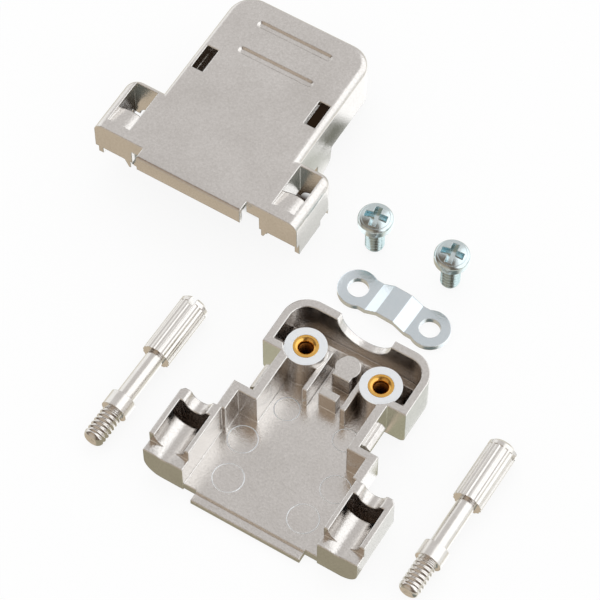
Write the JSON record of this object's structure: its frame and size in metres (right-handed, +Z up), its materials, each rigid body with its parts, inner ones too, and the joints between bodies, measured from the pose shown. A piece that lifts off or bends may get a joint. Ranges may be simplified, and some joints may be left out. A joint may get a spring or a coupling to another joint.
{
  "type": "d-sub connector hood",
  "caption": "Two-part die-cast hood for a nine-way d-sub connector, laid open with its cable clamp, clamp screws and captive thumbscrews.",
  "frame": {"origin": "centre of the laid-out set on the table", "axes": "+Z up from the table, +Y towards the cable ends of both shells, +X across the shells"},
  "size_m": [0.0688, 0.0642, 0.0104],
  "materials": {
    "nickel_casting": "satin nickel plate on a zinc die casting",
    "brass": "turned brass",
    "zinc_plated_steel": "bright zinc plate, slightly blue",
    "nickel_steel": "nickel-plated turned steel"
  },
  "bodies": {
    "root": {"cover_shell": "nickel_casting", "base_shell": "nickel_casting", "threaded_insert_left": "brass", "threaded_insert_right": "brass", "cable_clamp": "zinc_plated_steel", "clamp_screw_left": "zinc_plated_steel", "clamp_screw_right": "zinc_plated_steel", "thumbscrew_left": "nickel_steel", "thumbscrew_right": "nickel_steel"}
  },
  "joints": []
}
